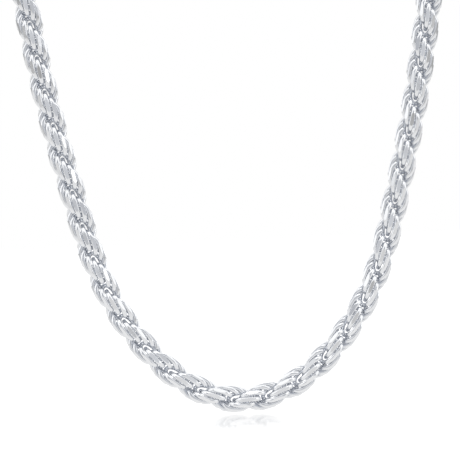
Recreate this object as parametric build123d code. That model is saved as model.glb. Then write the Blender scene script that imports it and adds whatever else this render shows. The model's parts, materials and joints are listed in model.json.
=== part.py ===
from build123d import *
import math
import os

# A silver rope-chain necklace, closed by a lobster clasp, as it hangs round a neck.
# Millimetres. +Z is up, X runs across, -Y is the front. The origin is the middle of the neck.

os.makedirs("parts", exist_ok=True)

# ---------------------------------------------------------------- rope
ROPE_D = 5.56  # thickness of the rope over its wires
WIRE_D = 0.92  # wire that every ring is bent from
RING_R = (ROPE_D - WIRE_D) / 2  # radius of a ring's round ends, to the middle of its wire
CROWN_RUN = 0.9  # straight length of a ring's two crowns, between its round ends
GAP_DEG = 80.0  # opening in one round end of a ring, turned to the inside of the rope
FLAT_DEPTH = 0.15  # how deep the diamond cut planes the crown of a ring
PITCH = 1.17  # step along the rope from one ring to the next
TWIST_DEG = -30.0  # turn about the rope from one ring to the next
PHASE_DEG = 15.0  # turn of the middle ring
RINGS_PER_SIDE = 203

# ---------------------------------------------------------------- way the rope runs
CHAIN_DROP = 142.0  # from the origin down to the lowest point of the rope's middle line
FRONT_Y = -40.0  # plane in which the front of the necklace hangs
# right-hand half of the middle line: across, back from the front plane, up from the lowest point
HALF_ROUTE = [
    (11.2, 0.0, 3.5),
    (19.95, 0.0, 11.6),
    (25.3, 0.0, 19.6),
    (32.2, 0.0, 39.6),
    (37.0, 0.0, 59.6),
    (40.6, 0.0, 79.6),
    (43.6, 0.0, 99.6),
    (46.2, 1.2, 117.5),
    (48.2, 14.5, 134.5),
    (47.8, 36.0, 146.0),
    (42.0, 57.0, 152.5),
    (29.0, 72.0, 155.8),
    (13.7, 78.0, 157.0),
]

# ---------------------------------------------------------------- how the rope is divided
FIRST_CUT = 24  # rings from the middle to the lowest hinge
RINGS_PER_LEVEL = 6  # rings of one arm between two hinges
LEVELS = 15  # hinges up the two arms
FRONT_GROUPS = 4  # nodes of the lowest, stiff bend
BACK_GROUPS = 4  # nodes of each side from the top hinge to the end cap

# ---------------------------------------------------------------- end caps
CUP_BORE_D = 6.0
CUP_D = 7.0
CUP_DEPTH = 5.6
CUP_FLOOR = 1.0
CUP_ROUND = 1.8
CUP_BEAD_D = 0.7  # raised bead round the mouth
EYE_WIRE_D = 0.9
EYE_R = 1.55  # to the middle of the wire

# ---------------------------------------------------------------- rings and tag at the clasp
JUMP_WIRE_D = 0.9
JUMP_R = 2.05
CATCH_WIRE_D = 1.0
CATCH_R = 2.6
LINK_PLAY = 0.05  # slack where one ring hangs in the next
SEAM_DEG = 2.5  # butt joint of a jump ring
TAG_RING_WIRE_D = 0.6
TAG_RING_R = 1.5
TAG_SIDE_STEP = 0.3  # the tag hangs this far from the catch ring's middle
TAG_TOP_R = 1.55
TAG_LOW_R = 2.1
TAG_DROP = 4.2  # from the hole down to the middle of the tag's wide end
TAG_T = 0.6
TAG_ROUND = 0.15
TAG_HOLE_D = 1.5

# ---------------------------------------------------------------- clasp, from the middle of its tail loop
CLASP_T = 2.8  # thickness, front to back
TAIL_R = 1.6
TAIL_WALL = 0.9
TAIL_T = 1.6
TAIL_ROUND = 0.35
TAIL_STEP = 2.45  # from the jump ring's middle to the tail loop's
BODY_X = 4.3
BODY_W = 5.4
BODY_H = 4.6
BODY_ROUND = 0.8
HOOK_X = 9.9  # middle of the hook's opening
HOOK_OUT_R = 3.5
HOOK_IN_R = 2.2
HOOK_T = 2.0
HOOK_ROUND = 0.4
PIN_X = 5.0
PIN_Z = 1.35
PIN_D = 0.8
PIN_SEAT_D = 0.84
LEVER_BORE_D = 0.9
SLOT_W = 1.3  # slot that the lever works in
SLOT_LOW = -0.8
LEVER_T = 1.1
LEVER_W = 1.2
GATE_REACH = 5.25  # from the pin to the tip of the lever
NOSE_REACH = 5.4  # from the pin to the nose of the hook
HUB_R = 1.05
SPRING_T = 0.2
SPRING_W = 0.9


def unit(vector):
    return vector * (1 / vector.length)


def route_points():
    """The middle line's fixed points from the left end cap to the right one."""
    right = [Vector(x, FRONT_Y + y, z - CHAIN_DROP) for x, y, z in HALF_ROUTE]
    left = [Vector(-p.X, p.Y, p.Z) for p in reversed(right)]
    return left + [Vector(0, FRONT_Y, -CHAIN_DROP)] + right


def arm_stations(route, sign):
    """Where each ring of one arm sits, from the middle out: (steps from the middle, point, tangent, side)."""
    side = Vector(0, 1, 0)
    found = []
    for i in range(RINGS_PER_SIDE):
        steps = sign * (i + 0.5)
        along = route.length / 2 + steps * PITCH
        tangent = unit(route.tangent_at(along, position_mode=PositionMode.LENGTH))
        side = unit(side - tangent * side.dot(tangent))
        found.append((steps, route.position_at(along, position_mode=PositionMode.LENGTH), tangent, side))
    return found


def ring_place(steps, point, tangent, side):
    """A ring's plane: X to its crown, Y along the rope to its gap."""
    turn = math.radians(TWIST_DEG * steps + PHASE_DEG)
    crown = side * math.cos(turn) + tangent.cross(side) * math.sin(turn)
    return Plane(origin=point, x_dir=crown, z_dir=crown.cross(tangent))


def open_ring():
    """One oval ring of round wire in the XY plane, open at its +Y end, with a flat planed on each crown."""
    half = CROWN_RUN / 2
    swept = 90 - GAP_DEG / 2
    path = Wire(
        [
            CenterArc((0, half), RING_R, 180 - swept, swept),
            Line((-RING_R, half), (-RING_R, -half)),
            CenterArc((0, -half), RING_R, 180, 180),
            Line((RING_R, -half), (RING_R, half)),
            CenterArc((0, half), RING_R, 0, swept),
        ]
    )
    ring = sweep(Plane(origin=path @ 0, z_dir=path % 0) * Circle(WIRE_D / 2), path)
    size = 2 * WIRE_D
    reach = RING_R + WIRE_D / 2 - FLAT_DEPTH + size / 2
    for sign in (-1, 1):
        ring -= Pos(sign * reach, 0, 0) * Box(size, 2 * RING_R, size)
    return ring


def write(node, shapes):
    """One STEP file per node."""
    shape = shapes[0] if len(shapes) == 1 else Compound(children=shapes)
    shape.label = node
    export_step(shape, f"parts/{node}.step")


def write_rope(left, right):
    """The rings of the rope, in groups that move together."""
    ring = open_ring()

    def group(stations):
        return [ring_place(*station) * ring for station in stations]

    front = left[:FIRST_CUT][::-1] + right[:FIRST_CUT]
    size = len(front) // FRONT_GROUPS
    for n in range(FRONT_GROUPS):
        write(f"rope_front_{n + 1}", group(front[n * size : (n + 1) * size]))
    top = FIRST_CUT + (LEVELS - 1) * RINGS_PER_LEVEL
    for name, arm in (("left", left), ("right", right)):
        for n in range(1, LEVELS):
            low = top - n * RINGS_PER_LEVEL
            write(f"rope_{name}_{n:02d}", group(arm[low : low + RINGS_PER_LEVEL]))
        back = arm[top:]
        size = math.ceil(len(back) / BACK_GROUPS)
        for n in range(BACK_GROUPS):
            write(f"rope_back_{name}_{n + 1}", group(back[n * size : (n + 1) * size]))


def hinge_heights(right):
    """Height of each hinge's axis, from the top one down."""
    cuts = [FIRST_CUT + n * RINGS_PER_LEVEL for n in reversed(range(LEVELS))]
    return [(right[c - 1][1] + right[c][1]) * 0.5 for c in cuts]


def wire_ring(radius, wire_d, opening=0.0):
    """A round-wire ring about Z, with a seam at +X if it has one."""
    wire = Plane.XZ * Pos(radius, 0) * Circle(wire_d / 2)
    return Rot(0, 0, opening / 2) * revolve(wire, Axis.Z, 360 - opening)


def drum(diameter, length):
    """A cylinder that runs from the origin along +X."""
    return Rot(0, 90, 0) * Cylinder(diameter / 2, length, align=(Align.CENTER, Align.CENTER, Align.MIN))


def end_cap():
    """A cup along +X with its mouth at X = 0, the eye on its floor, and how far the eye's middle is."""
    cup = drum(CUP_D, CUP_DEPTH + CUP_FLOOR)
    cup = fillet(cup.edges().sort_by(Axis.X)[-1], CUP_ROUND)
    cup += Pos(0.55, 0, 0) * Rot(0, 90, 0) * wire_ring(CUP_D / 2, CUP_BEAD_D)
    cup -= drum(CUP_BORE_D, CUP_DEPTH)
    eye_x = CUP_DEPTH + CUP_FLOOR + EYE_R + EYE_WIRE_D / 2 - 0.3
    eye = Pos(eye_x, 0, 0) * Rot(90, 0, 0) * wire_ring(EYE_R, EYE_WIRE_D)
    return cup, eye - cup, eye_x


def slab(face, thickness):
    """A profile drawn across and up, made solid about its own plane, front to back."""
    return extrude(Plane.XZ * face, amount=thickness / 2, both=True)


def soften(plate, radius):
    """A slab with the edges of its front and back rounded."""
    layers = plate.edges().group_by(Axis.Y)
    return fillet(layers[0] + layers[-1], radius)


def bar(start, end, width):
    """A straight strip with round ends, as a profile."""
    return SlotCenterToCenter((Vector(*end) - Vector(*start)).length, width).moved(
        Pos((start[0] + end[0]) / 2, (start[1] + end[1]) / 2)
        * Rot(0, 0, math.degrees(math.atan2(end[1] - start[1], end[0] - start[0])))
    )


def above(level):
    """A large profile that covers everything above a height."""
    return Pos(0, level + 20) * Rectangle(60, 40)


def clasp_body():
    """Tail loop, hollow body and hook, with the slot and the seat for the pin."""
    tail = soften(slab(Circle(TAIL_R + TAIL_WALL / 2) - Circle(TAIL_R - TAIL_WALL / 2), TAIL_T), TAIL_ROUND)
    middle = soften(slab(Pos(BODY_X, 0) * RectangleRounded(BODY_W, BODY_H, 1.6), CLASP_T), BODY_ROUND)
    middle -= slab(Circle(TAIL_R - TAIL_WALL / 2), 2 * CLASP_T)
    hook = Pos(HOOK_X, 0) * (Circle(HOOK_OUT_R) - Circle(HOOK_IN_R))
    hook -= (Pos(PIN_X, PIN_Z) * Circle(NOSE_REACH)) & above(0)
    hook = soften(slab(hook, HOOK_T), HOOK_ROUND)
    slot = slab(Pos(BODY_X + 1.2, SLOT_LOW + 5) * Rectangle(BODY_W - 0.4, 10), SLOT_W)
    seat = slab(Pos(PIN_X, PIN_Z) * Circle(PIN_SEAT_D / 2), 2 * CLASP_T)
    return tail + middle + hook - slot - seat


def clasp_lever():
    """Gate, hub and thumb tab, cut from one plate."""
    gate_ring = Pos(HOOK_X, 0) * (Circle(HOOK_OUT_R - 0.15) - Circle(HOOK_IN_R + 0.15))
    gate = gate_ring & (Pos(PIN_X, PIN_Z) * Circle(GATE_REACH)) & above(PIN_Z)
    root = (HOOK_X - (HOOK_OUT_R + HOOK_IN_R) / 2 + 0.4, PIN_Z + 0.1)
    profile = gate + bar((PIN_X, PIN_Z), root, LEVER_W) + Pos(PIN_X, PIN_Z) * Circle(HUB_R)
    profile += bar((PIN_X - 0.2, PIN_Z + 0.3), (PIN_X - 1.1, PIN_Z + 2.4), 1.0)
    profile -= Pos(PIN_X, PIN_Z) * Circle(LEVER_BORE_D / 2)
    return slab(profile, LEVER_T)


def clasp_spring():
    """A bent leaf that presses the lever shut."""
    low = SLOT_LOW + SPRING_T / 2 + 0.03
    leaf = bar((3.7, low), (6.3, low), SPRING_T) + bar((3.7, low), (6.4, PIN_Z - LEVER_W / 2 - 0.2), SPRING_T)
    return slab(leaf, SPRING_W)


def clasp_pin():
    return Pos(PIN_X, 0, PIN_Z) * Rot(90, 0, 0) * Cylinder(PIN_D / 2, CLASP_T - 0.1)


def hang_tag():
    """A blank tag about its hole."""
    top = Circle(TAG_TOP_R)
    low = Pos(0, -TAG_DROP) * Circle(TAG_LOW_R)
    return soften(slab(make_hull((top + low).edges()) - Circle(TAG_HOLE_D / 2), TAG_T), TAG_ROUND)


def write_fittings(route):
    """End caps, rings, clasp and tag across the nape. Returns the positions that the joints turn about."""
    cup, eye, eye_x = end_cap()
    end = route.position_at(1)
    mouth = route.position_at(route.length - CUP_DEPTH, position_mode=PositionMode.LENGTH)
    along = unit(end - mouth)
    place = Plane(origin=end - along * CUP_DEPTH, x_dir=along, z_dir=Vector(0, 0, 1) - along * along.Z)
    right_cup, right_eye = place * cup, place * eye
    write("end_cap_right", [right_cup])
    write("end_cap_right_eye", [right_eye])
    write("end_cap_left", [mirror(right_cup, Plane.YZ)])
    write("end_cap_left_eye", [mirror(right_eye, Plane.YZ)])
    middle = end + along * (eye_x - CUP_DEPTH)
    right = Vector(middle.X, middle.Y, middle.Z)

    jump_x = -right.X + EYE_R + JUMP_R - (EYE_WIRE_D + JUMP_WIRE_D) / 2 - LINK_PLAY
    tail = Pos(jump_x + TAIL_STEP, right.Y, right.Z)
    catch_x = right.X - EYE_R - CATCH_R + (EYE_WIRE_D + CATCH_WIRE_D) / 2 + LINK_PLAY
    jump_ring = Rot(0, 0, 90) * wire_ring(JUMP_R, JUMP_WIRE_D, SEAM_DEG)
    write("jump_ring", [Pos(jump_x, right.Y, right.Z) * jump_ring])
    write("catch_ring", [Pos(catch_x, right.Y, right.Z) * wire_ring(CATCH_R, CATCH_WIRE_D)])
    write("clasp_body", [tail * clasp_body()])
    write("clasp_lever", [tail * clasp_lever()])
    write("clasp_spring", [tail * clasp_spring()])
    write("clasp_pin", [tail * clasp_pin()])

    tag_x = catch_x + TAG_SIDE_STEP
    catch_y = right.Y + CATCH_R
    ring_z = right.Z + (CATCH_WIRE_D + TAG_RING_WIRE_D) / 2 + 0.03 - TAG_RING_R
    tag_wire_z = ring_z - TAG_RING_R
    hole_z = tag_wire_z - (TAG_HOLE_D - TAG_RING_WIRE_D) / 2 + LINK_PLAY
    tag_ring = Rot(0, 90, 0) * Rot(0, 0, 90) * wire_ring(TAG_RING_R, TAG_RING_WIRE_D, SEAM_DEG)
    write("tag_ring", [Pos(tag_x, catch_y, ring_z) * tag_ring])
    write("tag", [Pos(tag_x, catch_y, hole_z) * hang_tag()])
    pin = tail * Pos(PIN_X, 0, PIN_Z)
    print("lever pin", pin.position)
    print("tag ring turns about", (tag_x, catch_y, right.Z))
    print("tag turns about", (tag_x, catch_y, tag_wire_z))
    print("eyes at +-", right)


def main():
    route = Spline(*route_points())
    left = arm_stations(route, -1)
    right = arm_stations(route, 1)
    write_rope(left, right)
    write_fittings(route)
    inset = route.length / 2 - (RINGS_PER_SIDE - 0.5) * PITCH
    print(f"rope {route.length:.1f} mm, last ring {inset:.2f} mm from its end")
    for n, point in enumerate(hinge_heights(right), 1):
        print(f"hinge {n:2d} y {point.Y:.3f} z {point.Z:.3f}")


main()
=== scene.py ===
import json
import math

import bmesh
import bpy
import numpy as np
from mathutils import Matrix, Vector


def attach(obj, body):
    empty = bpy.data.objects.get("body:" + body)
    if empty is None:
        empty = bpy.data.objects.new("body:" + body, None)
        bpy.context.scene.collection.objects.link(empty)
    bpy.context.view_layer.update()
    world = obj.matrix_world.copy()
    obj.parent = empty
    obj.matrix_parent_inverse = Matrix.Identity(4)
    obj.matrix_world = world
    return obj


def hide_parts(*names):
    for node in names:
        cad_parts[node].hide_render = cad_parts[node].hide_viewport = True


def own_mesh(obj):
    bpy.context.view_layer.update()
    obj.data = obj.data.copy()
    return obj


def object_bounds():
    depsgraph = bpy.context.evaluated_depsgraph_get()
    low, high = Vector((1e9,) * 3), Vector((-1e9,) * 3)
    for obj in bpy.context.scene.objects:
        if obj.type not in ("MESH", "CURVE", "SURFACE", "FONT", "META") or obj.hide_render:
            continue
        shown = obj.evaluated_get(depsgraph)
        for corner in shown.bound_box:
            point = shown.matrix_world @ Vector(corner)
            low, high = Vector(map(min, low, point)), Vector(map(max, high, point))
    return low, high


# A silver rope chain with a lobster clasp. Every length is in metres and every angle in degrees.
# Each ring of the rope is rebuilt at the place that its CAD solid has, with finer facets and edges.

MM = 0.001

# ---------------------------------------------------------------- view
VIEW_MIDDLE = Vector((-1.61, -40.0, -107.71)) * MM  # what the camera looks at, in the rope's front plane
VIEW_WIDTH = 92.9 * MM  # how much the camera sees there
CAMERA_DISTANCE = 1.0
CAMERA_ROLL = 2.41
SENSOR = 36.0

# ---------------------------------------------------------------- light
# name, place, side and brightness of each softbox
SOFTBOXES = [
    ("light_top", (0, -0.25, 0.9), 0.3, 1.3),
    ("light_left", (-0.9, -0.75, 0.35), 0.16, 1.1),
    ("light_right", (0.95, -0.6, 0.15), 0.16, 1.1),
]
LIGHT_AIM = Vector((0, -40, -92)) * MM
# colour of the tent as the silver sees it, from straight in front (0) to straight behind the necklace (1)
TENT = [
    (0.0, (0.62, 0.635, 0.665)),
    (0.12, (0.36, 0.375, 0.41)),
    (0.25, (1.03, 1.035, 1.04)),
    (0.76, (1.03, 1.035, 1.04)),
    (0.88, (0.55, 0.56, 0.59)),
    (0.975, (0.47, 0.48, 0.51)),
    (0.99, (1.0, 1.0, 1.0)),
]

# ---------------------------------------------------------------- rings of the rope
WIRE_R = 0.46 * MM
RING_R = 2.32 * MM
CROWN_RUN = 0.9 * MM
GAP = 80.0
FLAT_DEPTH = 0.15 * MM
END_STEPS = 28  # steps round a half circle
CROWN_STEPS = 4
WIRE_SIDES = 20
EDGE_BEVEL = 0.018 * MM
FLAT_KINDS = 7  # rings with different facets
FLAT_LEAN = 8.0  # how far a facet may lean from square, across the wire
FLAT_SWING = 3.0  # and along it
SEED = 11

# ---------------------------------------------------------------- silver
# painted shade: the silver's colour darkens from RECESS_FROM to RECESS_TO, in the recesses between the wires
RECESS_FROM = 1.95 * MM  # from the rope's middle line
RECESS_TO = 1.3 * MM
BRIGHT_SILVER = (0.962, 0.97, 0.985)
# the colour of the painted shade in the recesses
SHADED_RECESS_SILVER = (0.72, 0.745, 0.795)  # in the recesses
POLISH = (0.08, 0.17)  # roughness, in patches
PATCH_SCALE = 900
SCRATCH_SCALE = 14000
SCRATCH_STRETCH = (1.0, 0.25, 0.6)
SCRATCH_TURN = (0.5, 0.3, 0.7)
SCRATCH_STRENGTH = 0.08

# ---------------------------------------------------------------- spring steel
STEEL_TONES = ((0.52, 0.53, 0.54), (0.68, 0.68, 0.69))
STEEL_ROUGHNESS = (0.22, 0.38)
GRAIN_SCALE = 12000
GRAIN_STRETCH = (0.04, 1.0, 1.0)
GRAIN_STRENGTH = 0.15

NOISE_SPAN = (0.3, 0.7)  # most of what a noise texture gives lies in here
BUMP_DEPTH = 0.02 * MM

# ---------------------------------------------------------------- floor
FLOOR_DROP = 0.2 * MM  # the lowest wire hangs this far above the floor
FLOOR_SIDE = 30.0
FLOOR_GLOW = 1.4  # as the camera sees it, so that it meets the white behind it
FLOOR_LIGHT = (0.82, 0.36)  # what it gives the silver, under the necklace and far in front or behind
FLOOR_LIGHT_REACH = (60 * MM, 560 * MM)
FLOOR_GLOSS = 0.76  # most of the mirror's share, before the Fresnel factor
FLOOR_IOR = 1.45
FLOOR_GLOSS_Y = (-190 * MM, -65 * MM)  # the mirror comes in from the first to the second
FLOOR_MATT_Y = (-40 * MM, -20 * MM)  # and fades from the first to the second
FLOOR_ROUGHNESS = 0.04

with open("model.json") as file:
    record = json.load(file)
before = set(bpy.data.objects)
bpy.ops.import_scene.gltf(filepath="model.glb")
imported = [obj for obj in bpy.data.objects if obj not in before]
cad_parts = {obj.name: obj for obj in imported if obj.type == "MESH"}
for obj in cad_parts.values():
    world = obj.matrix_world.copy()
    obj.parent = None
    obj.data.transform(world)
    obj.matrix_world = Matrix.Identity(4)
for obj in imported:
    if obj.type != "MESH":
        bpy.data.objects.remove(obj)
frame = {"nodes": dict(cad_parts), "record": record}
cad_low, cad_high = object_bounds()
chance = np.random.default_rng(SEED)


def link(name, data):
    """A new object in the scene for a mesh, a lamp or a camera."""
    piece = bpy.data.objects.new(name, data)
    bpy.context.scene.collection.objects.link(piece)
    return piece


# ---------------------------------------------------------------- camera
def make_camera():
    """A long lens, level with the picture's middle, looking along +Y and rolled a little."""
    data = bpy.data.cameras.new("camera")
    data.sensor_width = SENSOR
    data.lens = SENSOR * CAMERA_DISTANCE / VIEW_WIDTH
    data.clip_start = 0.05
    data.clip_end = 100
    camera = link("camera", data)
    camera.location = VIEW_MIDDLE - Vector((0, CAMERA_DISTANCE, 0))
    level = Matrix.Rotation(math.radians(90), 4, "X")
    roll = Matrix.Rotation(math.radians(-CAMERA_ROLL), 4, "Z")
    camera.rotation_euler = (level @ roll).to_euler()
    bpy.context.scene.camera = camera


def map_range(nodes, links, value, source, target):
    """The output of a node that carries a value from one range to another, held at its ends."""
    node = nodes.new("ShaderNodeMapRange")
    node.inputs["From Min"].default_value = source[0]
    node.inputs["From Max"].default_value = source[1]
    node.inputs["To Min"].default_value = target[0]
    node.inputs["To Max"].default_value = target[1]
    links.new(value, node.inputs["Value"])
    return node.outputs["Result"]


def multiply(nodes, links, first, second):
    """The output of a node that multiplies two values."""
    node = nodes.new("ShaderNodeMath")
    node.operation = "MULTIPLY"
    links.new(first, node.inputs[0])
    links.new(second, node.inputs[1])
    return node.outputs[0]


# ---------------------------------------------------------------- studio
def make_world():
    """A tent, plain white to the camera. The silver sees it darker straight in front and behind."""
    world = bpy.data.worlds.new("tent")
    world.use_nodes = True
    nodes, links = world.node_tree.nodes, world.node_tree.links
    nodes.clear()
    out = nodes.new("ShaderNodeOutputWorld")
    light = nodes.new("ShaderNodeBackground")
    seen = nodes.new("ShaderNodeBackground")
    seen.inputs["Color"].default_value = (1, 1, 1, 1)
    pick = nodes.new("ShaderNodeMixShader")
    path = nodes.new("ShaderNodeLightPath")
    place = nodes.new("ShaderNodeTexCoord")
    parts = nodes.new("ShaderNodeSeparateXYZ")
    half = nodes.new("ShaderNodeMath")
    half.operation = "MULTIPLY_ADD"
    half.inputs[1].default_value = 0.5
    half.inputs[2].default_value = 0.5
    ramp = nodes.new("ShaderNodeValToRGB")
    for i, (where, colour) in enumerate(TENT):
        stop = ramp.color_ramp.elements[i] if i < 2 else ramp.color_ramp.elements.new(where)
        stop.position = where
        stop.color = (*colour, 1)
    links.new(place.outputs["Generated"], parts.inputs[0])
    links.new(parts.outputs["Y"], half.inputs[0])
    links.new(half.outputs[0], ramp.inputs[0])
    links.new(ramp.outputs[0], light.inputs["Color"])
    links.new(path.outputs["Is Camera Ray"], pick.inputs[0])
    links.new(light.outputs[0], pick.inputs[1])
    links.new(seen.outputs[0], pick.inputs[2])
    links.new(pick.outputs[0], out.inputs["Surface"])
    bpy.context.scene.world = world


def make_softbox(name, place, side, glow):
    """A square softbox that faces the middle of the U."""
    data = bpy.data.lights.new(name, "AREA")
    data.shape = "SQUARE"
    data.size = side
    data.energy = glow * math.pi * side * side
    box = link(name, data)
    box.location = place
    aim = LIGHT_AIM - Vector(place)
    box.rotation_euler = aim.to_track_quat("-Z", "Y").to_euler()
    box.visible_camera = False


def make_lights():
    """Softboxes above and to either side, each brighter than the tent."""
    for name, place, side, glow in SOFTBOXES:
        make_softbox(name, place, side, glow)


def make_floor():
    """A level floor just below the lowest wire."""
    half = FLOOR_SIDE / 2
    z = cad_low.z - FLOOR_DROP
    corners = [(-half, -half, z), (half, -half, z), (half, half, z), (-half, half, z)]
    mesh = bpy.data.meshes.new("floor")
    mesh.from_pydata(corners, [], [(0, 1, 2, 3)])
    mesh.materials.append(floor_material())
    link("floor", mesh)


def floor_material():
    """A glowing floor: white to the camera and darker to the silver, a painted glow that lights it from
    below and is brightest under the necklace, with a mirror that fades in front of the necklace.
    """
    material = bpy.data.materials.new("floor")
    material.use_nodes = True
    nodes, links = material.node_tree.nodes, material.node_tree.links
    nodes.clear()
    out = nodes.new("ShaderNodeOutputMaterial")
    place = nodes.new("ShaderNodeTexCoord")
    parts = nodes.new("ShaderNodeSeparateXYZ")
    links.new(place.outputs["Object"], parts.inputs[0])
    depth = parts.outputs["Y"]

    away = nodes.new("ShaderNodeMath")
    away.operation = "ABSOLUTE"
    links.new(depth, away.inputs[0])
    path = nodes.new("ShaderNodeLightPath")
    strength = nodes.new("ShaderNodeMix")
    strength.inputs["B"].default_value = FLOOR_GLOW
    links.new(path.outputs["Is Camera Ray"], strength.inputs["Factor"])
    links.new(map_range(nodes, links, away.outputs[0], FLOOR_LIGHT_REACH, FLOOR_LIGHT), strength.inputs["A"])
    # painted glow: the floor emits light, evenly white to the camera and, to the silver, strongest under the
    # necklace
    glow_shader = nodes.new("ShaderNodeEmission")
    links.new(strength.outputs["Result"], glow_shader.inputs["Strength"])

    gloss = nodes.new("ShaderNodeBsdfGlossy")
    gloss.inputs["Roughness"].default_value = FLOOR_ROUGHNESS
    mirror = nodes.new("ShaderNodeFresnel")
    mirror.inputs["IOR"].default_value = FLOOR_IOR
    comes_in = map_range(nodes, links, depth, FLOOR_GLOSS_Y, (0, FLOOR_GLOSS))
    fades = map_range(nodes, links, depth, FLOOR_MATT_Y, (1, 0))
    patch = multiply(nodes, links, comes_in, fades)

    mix = nodes.new("ShaderNodeMixShader")
    links.new(multiply(nodes, links, patch, mirror.outputs[0]), mix.inputs[0])
    links.new(glow_shader.outputs[0], mix.inputs[1])
    links.new(gloss.outputs[0], mix.inputs[2])
    links.new(mix.outputs[0], out.inputs["Surface"])
    return material


# ---------------------------------------------------------------- materials
def metal(name):
    """A new metallic material, its nodes and links, its shader, and the place on the object."""
    material = bpy.data.materials.new(name)
    material.use_nodes = True
    nodes, links = material.node_tree.nodes, material.node_tree.links
    shader = nodes["Principled BSDF"]
    shader.inputs["Metallic"].default_value = 1.0
    return material, nodes, links, shader, nodes.new("ShaderNodeTexCoord").outputs["Object"]


def noise(nodes, links, place, scale, detail):
    """The value of a noise texture."""
    node = nodes.new("ShaderNodeTexNoise")
    node.inputs["Scale"].default_value = scale
    node.inputs["Detail"].default_value = detail
    links.new(place, node.inputs["Vector"])
    return node.outputs["Fac"]


def stretched(nodes, links, place, scale, turn=(0, 0, 0)):
    """A place with its axes turned and stretched, for grain that runs one way."""
    node = nodes.new("ShaderNodeMapping")
    node.inputs["Scale"].default_value = scale
    node.inputs["Rotation"].default_value = turn
    links.new(place, node.inputs["Vector"])
    return node.outputs[0]


def blend_colour(nodes, links, factor, first, second, shader):
    """Gives the shader a colour between two, by a factor."""
    node = nodes.new("ShaderNodeMix")
    node.data_type = "RGBA"
    node.inputs["A"].default_value = (*first, 1)
    node.inputs["B"].default_value = (*second, 1)
    links.new(factor, node.inputs["Factor"])
    links.new(node.outputs["Result"], shader.inputs["Base Color"])


def add_bump(nodes, links, height, strength, shader):
    """Gives the shader fine relief."""
    node = nodes.new("ShaderNodeBump")
    node.inputs["Strength"].default_value = strength
    node.inputs["Distance"].default_value = BUMP_DEPTH
    links.new(height, node.inputs["Height"])
    links.new(node.outputs[0], shader.inputs["Normal"])


def silver(name):
    """Polished silver: fine scratches, patches where the polish is softer, and painted shade that darkens
    its colour in the recesses between the wires.
    """
    material, nodes, links, shader, place = metal(name)
    recess = nodes.new("ShaderNodeAttribute")
    recess.attribute_name = "recess"
    cloud = noise(nodes, links, place, PATCH_SCALE, 4)
    uneven = map_range(nodes, links, cloud, NOISE_SPAN, (0.6, 1.0))
    # painted shade, darker towards the heart of the rope and uneven in patches
    recess_shade = multiply(nodes, links, recess.outputs["Fac"], uneven)
    blend_colour(nodes, links, recess_shade, BRIGHT_SILVER, SHADED_RECESS_SILVER, shader)
    links.new(map_range(nodes, links, cloud, NOISE_SPAN, POLISH), shader.inputs["Roughness"])
    along = stretched(nodes, links, place, SCRATCH_STRETCH, SCRATCH_TURN)
    add_bump(nodes, links, noise(nodes, links, along, SCRATCH_SCALE, 3), SCRATCH_STRENGTH, shader)
    return material


def spring_steel(name):
    """Bare steel strip with the fine long lines that rolling leaves."""
    material, nodes, links, shader, place = metal(name)
    grain = noise(nodes, links, stretched(nodes, links, place, GRAIN_STRETCH), GRAIN_SCALE, 3)
    blend_colour(nodes, links, grain, *STEEL_TONES, shader)
    links.new(map_range(nodes, links, grain, NOISE_SPAN, STEEL_ROUGHNESS), shader.inputs["Roughness"])
    add_bump(nodes, links, grain, GRAIN_STRENGTH, shader)
    return material


# ---------------------------------------------------------------- rings
def ring_stations():
    """Points along a ring's wire from one end of the gap to the other, each with the way out of the ring."""
    half = CROWN_RUN / 2
    swept = 90 - GAP / 2
    found = []

    def arc(middle, start, turn, steps):
        for i in range(steps + 1):
            angle = math.radians(start + turn * i / steps)
            out = Vector((math.cos(angle), math.sin(angle), 0))
            found.append((Vector((0, middle, 0)) + out * RING_R, out))

    def run(side, start, end):
        for i in range(1, CROWN_STEPS):
            level = start + (end - start) * i / CROWN_STEPS
            found.append((Vector((side * RING_R, level, 0)), Vector((side, 0, 0))))

    short = round(END_STEPS * swept / 180)
    arc(half, 180 - swept, swept, short)
    run(-1, half, -half)
    arc(-half, 180, 180, END_STEPS)
    run(1, -half, half)
    arc(half, 0, swept, short)
    return found


def ring_model(tilts):
    """One oval ring with its gap at +Y and a planed facet on each crown, at -X and +X."""
    shape = bmesh.new()
    loops = []
    for point, out in ring_stations():
        loop = []
        for j in range(WIRE_SIDES):
            lean = math.tau * j / WIRE_SIDES
            rise = Vector((0, 0, WIRE_R * math.sin(lean)))
            loop.append(shape.verts.new(point + out * WIRE_R * math.cos(lean) + rise))
        loops.append(loop)
    for first, second in zip(loops, loops[1:]):
        for j in range(WIRE_SIDES):
            k = (j + 1) % WIRE_SIDES
            shape.faces.new((first[j], second[j], second[k], first[k]))
    ends = [shape.faces.new(loops[0]), shape.faces.new(list(reversed(loops[-1])))]
    sharp = [edge for end in ends for edge in end.edges]

    for sign, (lean, swing) in zip((-1, 1), tilts):
        normal = Vector((sign, math.tan(math.radians(swing)), math.tan(math.radians(lean)))).normalized()
        seat = Vector((sign * (RING_R + WIRE_R - FLAT_DEPTH), 0, 0))
        everything = list(shape.verts) + list(shape.edges) + list(shape.faces)
        cut = bmesh.ops.bisect_plane(
            shape, geom=everything, dist=1e-9, plane_co=seat, plane_no=normal, clear_outer=True
        )
        rim = [e for e in cut["geom_cut"] if isinstance(e, bmesh.types.BMEdge)]
        bmesh.ops.contextual_create(shape, geom=rim)
        sharp += rim
    sharp = [edge for edge in sharp if edge.is_valid]
    bmesh.ops.bevel(
        shape, geom=sharp, offset=EDGE_BEVEL, segments=2, profile=0.5, affect="EDGES", clamp_overlap=True
    )
    bmesh.ops.recalc_face_normals(shape, faces=list(shape.faces))
    shape.verts.index_update()
    points = np.array([v.co for v in shape.verts])
    faces = [[v.index for v in f.verts] for f in shape.faces]
    shape.free()
    return points, faces


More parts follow.
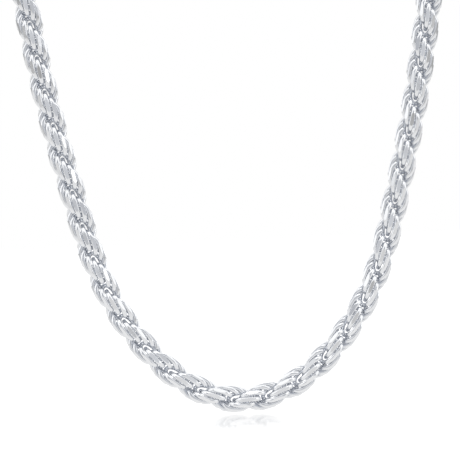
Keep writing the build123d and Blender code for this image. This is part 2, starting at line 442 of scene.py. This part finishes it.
def separate_solids(mesh):
    """The vertices of each connected solid of a CAD mesh."""
    points = np.zeros(len(mesh.vertices) * 3, np.float32)
    mesh.vertices.foreach_get("co", points)
    points = points.reshape(-1, 3).astype(float)
    places, joined = np.unique(np.round(points, 7), axis=0, return_inverse=True)
    edges = np.zeros(len(mesh.edges) * 2, np.int32)
    mesh.edges.foreach_get("vertices", edges)
    first, second = joined[edges.reshape(-1, 2)].T
    label = np.arange(len(places))
    while True:
        least = np.minimum(label[first], label[second])
        fresh = label.copy()
        np.minimum.at(fresh, first, least)
        np.minimum.at(fresh, second, least)
        fresh = fresh[fresh]
        if np.array_equal(fresh, label):
            break
        label = fresh
    return [places[label == k] for k in np.unique(label)]


def ring_frame(points):
    """Where a ring is: its middle, and the directions of its crown, its gap and its axis."""
    middle = points.mean(0)
    axes = np.linalg.svd(points - middle, full_matrices=False)[2]
    across, along, axis = axes[0], axes[1], axes[2]
    for _ in range(3):
        flat = points - middle
        angles = np.sort(np.arctan2(flat @ along, flat @ across))
        steps = np.diff(np.append(angles, angles[0] + math.tau))
        widest = int(np.argmax(steps))
        turn = angles[widest] + steps[widest] / 2
        gap = across * math.cos(turn) + along * math.sin(turn)
        crown = np.cross(gap, axis)
        reach = flat @ crown
        depth = (flat @ gap).min() + RING_R + WIRE_R + CROWN_RUN / 2
        middle = middle + crown * (reach.max() + reach.min()) / 2 + gap * depth
        middle = middle + axis * ((points - middle) @ axis).mean()
    return middle, np.array([crown, gap, np.cross(crown, gap)])


def recess_of(points):
    """The mask of the painted shade in the recesses: 0 on the outside of the rope and 1 at its heart."""
    out = np.hypot(points[:, 0], points[:, 2])
    depth = np.clip((RECESS_FROM - out) / (RECESS_FROM - RECESS_TO), 0, 1)
    return depth * depth * (3 - 2 * depth)


def make_rope(models, material):
    """One piece for each rope node, with a ring at the place of each CAD ring."""
    for body, members in frame["record"]["behaviour"]["bodies"].items():
        for node in sorted(members):
            if node.startswith("rope_"):
                make_rope_piece(node, body, models, material)


def make_rope_piece(node, body, models, material):
    points, faces, recess = [], [], []
    solids = separate_solids(frame["nodes"][node].data)
    solids.sort(key=lambda solid: tuple(np.round(solid.mean(0), 6)))
    count = 0
    for solid in solids:
        middle, axes = ring_frame(solid)
        own_points, own_faces = models[chance.integers(len(models))]
        points.append(own_points @ axes + middle)
        faces += [[v + count for v in face] for face in own_faces]
        recess.append(recess_of(own_points))
        count += len(own_points)
    mesh = bpy.data.meshes.new(node + "_rings")
    mesh.from_pydata(np.concatenate(points).tolist(), [], faces)
    smooth = [len(face) <= 4 for face in faces]
    mesh.polygons.foreach_set("use_smooth", smooth)
    # the mask of the painted shade between the wires, read by the silver
    mesh.attributes.new("recess", "FLOAT", "POINT").data.foreach_set(
        "value", np.concatenate(recess).astype(np.float32)
    )
    mesh.materials.append(material)
    piece = link(node + "_rings", mesh)
    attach(piece, body)
    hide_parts(node)


def ring_models():
    kinds = []
    for _ in range(FLAT_KINDS):
        tilts = chance.uniform(-1, 1, (2, 2)) * (FLAT_LEAN, FLAT_SWING)
        kinds.append(ring_model(tilts))
    return kinds


# ---------------------------------------------------------------- clasp
def make_spring(material):
    """The leaf under the lever, a copy of its CAD part in spring steel, carried by the nape."""
    mesh = frame["nodes"]["clasp_spring"].data.copy()
    mesh.name = "clasp_spring_leaf"
    mesh.materials.clear()
    mesh.materials.append(material)
    leaf = link("clasp_spring_leaf", mesh)
    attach(leaf, "nape")
    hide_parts("clasp_spring")
    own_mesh(leaf)


def main():
    make_camera()
    make_world()
    make_lights()
    make_floor()
    polished = silver("silver")
    make_rope(ring_models(), polished)
    make_spring(spring_steel("spring_steel"))
    for node, piece in frame["nodes"].items():
        if not node.startswith("rope_") and node != "clasp_spring":
            for slot in piece.material_slots:
                slot.material = polished
    bpy.context.scene.view_settings.view_transform = "Standard"


main()
